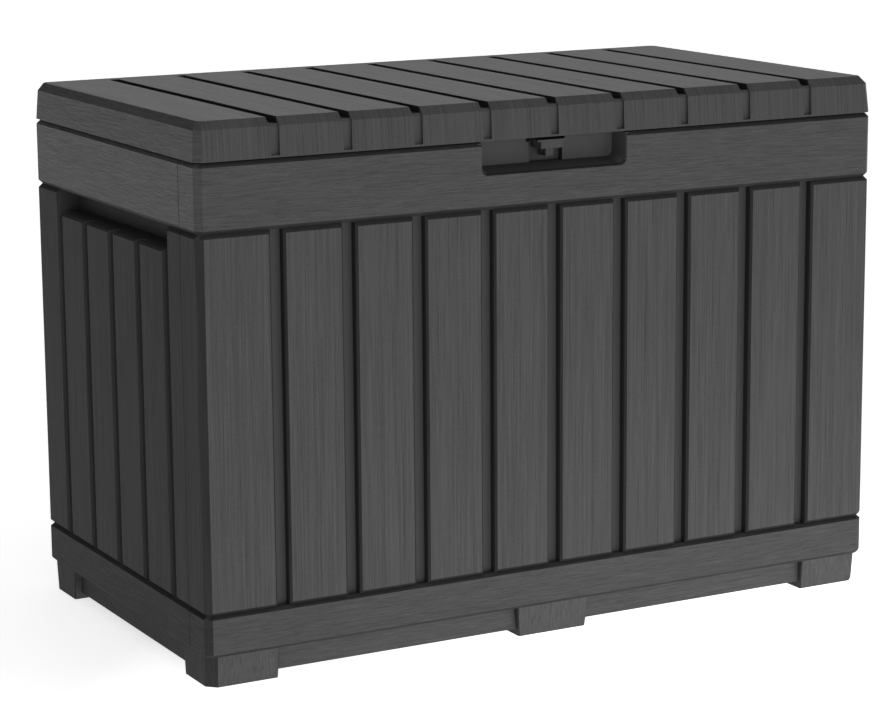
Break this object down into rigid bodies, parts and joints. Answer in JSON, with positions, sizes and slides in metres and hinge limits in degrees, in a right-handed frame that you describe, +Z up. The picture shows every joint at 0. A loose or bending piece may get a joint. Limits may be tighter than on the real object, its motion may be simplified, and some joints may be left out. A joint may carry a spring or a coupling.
{
  "type": "deck storage box",
  "caption": "Plank-look resin deck storage box with a hinged lid on two gas struts, a front hand notch with a padlock point, and side hand pockets.",
  "frame": {"origin": "on the floor under the middle of the box's outline", "axes": "+X along the length, to the right when facing the front; the front faces -Y; +Z up"},
  "size_m": [1.08, 0.588, 0.7646],
  "materials": {
    "resin": "matte graphite resin embossed with wood grain",
    "smooth_resin": "plain matte graphite resin",
    "liner_resin": "fine moulded texture",
    "steel_pin": "zinc plated",
    "screw_steel": "zinc plated",
    "bracket_steel": "black powder coat",
    "strut_tube": "satin black paint",
    "strut_rod": "polished hard chrome"
  },
  "bodies": {
    "box": {"base_tray": "resin", "front_panel": "resin", "rear_panel": "resin", "side_panel_left": "resin", "side_panel_right": "resin", "corner_screws": "screw_steel", "base_screws": "screw_steel", "hinge_bracket_left": "smooth_resin", "hinge_bracket_centre": "smooth_resin", "hinge_bracket_right": "smooth_resin", "hinge_pin_left": "steel_pin", "hinge_pin_centre": "steel_pin", "hinge_pin_right": "steel_pin", "hinge_bracket_screws": "screw_steel", "lock_staple": "smooth_resin", "lock_staple_screws": "screw_steel", "strut_mount_left": "bracket_steel", "strut_mount_right": "bracket_steel", "strut_mount_screws": "screw_steel"},
    "lid": {"lid_shell": "resin", "lid_liner": "liner_resin", "liner_screws": "screw_steel", "hinge_leaf_left": "smooth_resin", "hinge_leaf_centre": "smooth_resin", "hinge_leaf_right": "smooth_resin", "hinge_leaf_screws": "screw_steel", "lock_tongue": "smooth_resin", "lock_tongue_screws": "screw_steel", "lid_strut_bracket_left": "bracket_steel", "lid_strut_bracket_right": "bracket_steel", "lid_strut_bracket_screws": "screw_steel"},
    "strut_cylinder_left": {"strut_cylinder_left": "strut_tube"},
    "strut_cylinder_right": {"strut_cylinder_right": "strut_tube"},
    "strut_rod_left": {"strut_rod_left": "strut_rod"},
    "strut_rod_right": {"strut_rod_right": "strut_rod"}
  },
  "joints": [
    {"name": "lid_hinge", "type": "hinge", "parent": "box", "child": "lid", "pos_m": [0, 0.287, 0.71125], "axis": [-1, 0, 0], "range_deg": [0, 90]},
    {"name": "strut_swing_left", "type": "hinge", "parent": "box", "child": "strut_cylinder_left", "pos_m": [-0.48, 0.22, 0.47], "axis": [-1, 0, 0], "range_deg": [0, 20.36]},
    {"name": "strut_stroke_left", "type": "slide", "parent": "strut_cylinder_left", "child": "strut_rod_left", "axis": [0, -0.2391, 0.971], "range_m": [0, 0.14209]},
    {"name": "strut_swing_right", "type": "hinge", "parent": "box", "child": "strut_cylinder_right", "pos_m": [0.48, 0.22, 0.47], "axis": [-1, 0, 0], "range_deg": [0, 20.36]},
    {"name": "strut_stroke_right", "type": "slide", "parent": "strut_cylinder_right", "child": "strut_rod_right", "axis": [0, -0.2391, 0.971], "range_m": [0, 0.14209]}
  ],
  "couplings": [
    {"joint": "strut_swing_left", "follows": "lid_hinge", "ratio": 0.22564},
    {"joint": "strut_stroke_left", "follows": "lid_hinge", "m_per_rad": 0.09033},
    {"joint": "strut_swing_right", "follows": "lid_hinge", "ratio": 0.22564},
    {"joint": "strut_stroke_right", "follows": "lid_hinge", "m_per_rad": 0.09033}
  ]
}
